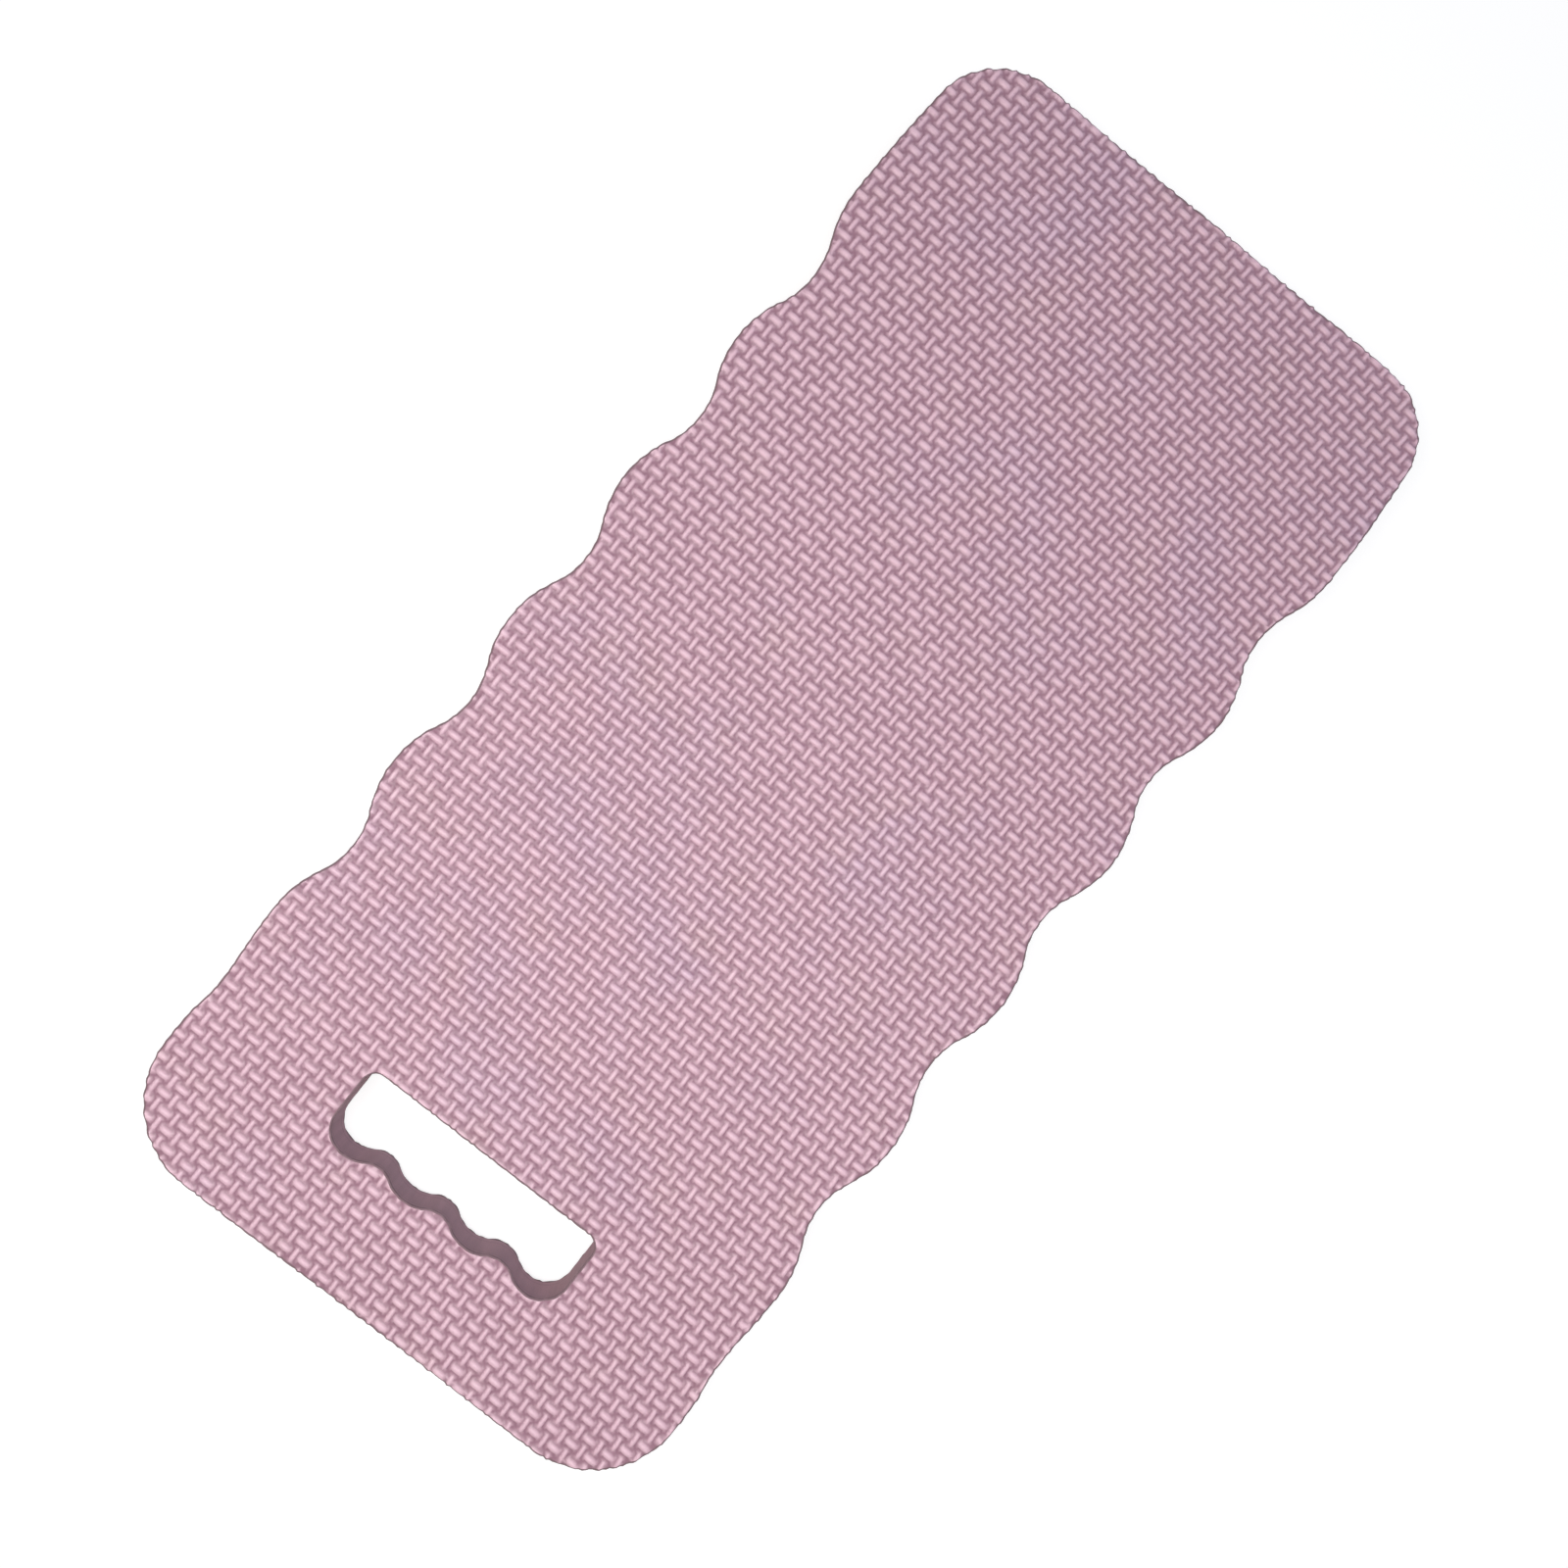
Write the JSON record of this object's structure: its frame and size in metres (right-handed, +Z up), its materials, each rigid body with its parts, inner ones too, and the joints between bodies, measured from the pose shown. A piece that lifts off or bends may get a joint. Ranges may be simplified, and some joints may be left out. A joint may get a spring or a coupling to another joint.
{
  "type": "kneeling pad",
  "caption": "Flat garden kneeling pad of bonded foam sheets with a basket-weave face, waved long sides and a hand slot shaped for the fingers at one end.",
  "frame": {"origin": "centre of the pad's box, on the ground", "axes": "+X along the pad towards the hand slot, +Y across it, +Z up out of the kneeling face"},
  "size_m": [0.39, 0.176, 0.015],
  "materials": {
    "woven_face_foam": "dusty pink closed-cell EVA foam, embossed with a basket weave, satin",
    "core_foam": "dusty pink closed-cell EVA foam, plain die-cut edge, matt",
    "bond_film": "thin hot-melt bond line in the colour of the foam, slightly darker"
  },
  "bodies": {
    "root": {"ground_sheet": "woven_face_foam", "lower_bond_film": "bond_film", "core_sheet": "core_foam", "upper_bond_film": "bond_film", "kneeling_sheet": "woven_face_foam"}
  },
  "joints": []
}
